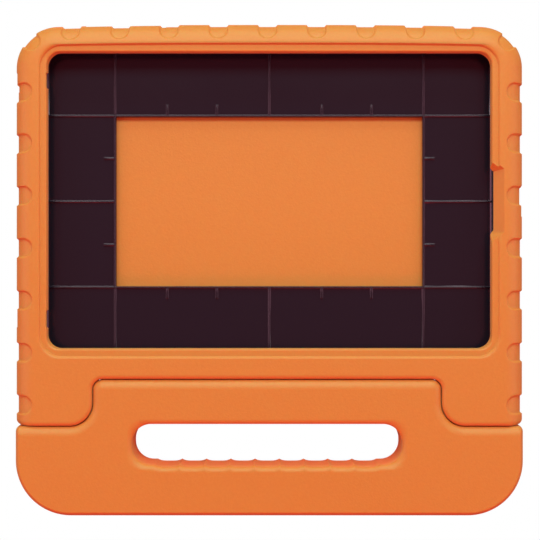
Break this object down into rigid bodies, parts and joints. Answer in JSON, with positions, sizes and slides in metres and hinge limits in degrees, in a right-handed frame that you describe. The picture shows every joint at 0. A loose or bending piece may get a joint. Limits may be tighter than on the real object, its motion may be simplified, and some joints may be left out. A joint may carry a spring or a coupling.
{
  "type": "kids tablet case",
  "caption": "Thick foam case for a small tablet, with a grip border, a moulded inner tray and a foam carrying handle that turns back as a stand.",
  "frame": {"origin": "middle of the closed case's outline, on the plane of its flat back", "axes": "+X along the tablet's long side, +Y from the handle towards the top edge, +Z out of the front; the case lies on its back"},
  "size_m": [0.226, 0.219, 0.024],
  "materials": {
    "foam": "matt moulded foam skin",
    "tray": "satin black moulded plastic",
    "rod": "drawn steel",
    "nylon": "natural nylon"
  },
  "bodies": {
    "case": {"case_foam": "foam", "tablet_tray": "tray", "hinge_rod": "rod", "lobe_bush_left": "nylon", "lobe_bush_right": "nylon", "friction_washer_left": "nylon", "friction_washer_right": "nylon", "rod_plug_left": "foam", "rod_plug_right": "foam"},
    "handle": {"handle_foam": "foam", "handle_bush_left": "nylon", "handle_bush_right": "nylon"}
  },
  "joints": [
    {"name": "handle_pivot", "type": "hinge", "parent": "case", "child": "handle", "pos_m": [0, -0.05875, 0.006], "axis": [1, 0, 0], "range_deg": [0, 120]}
  ]
}
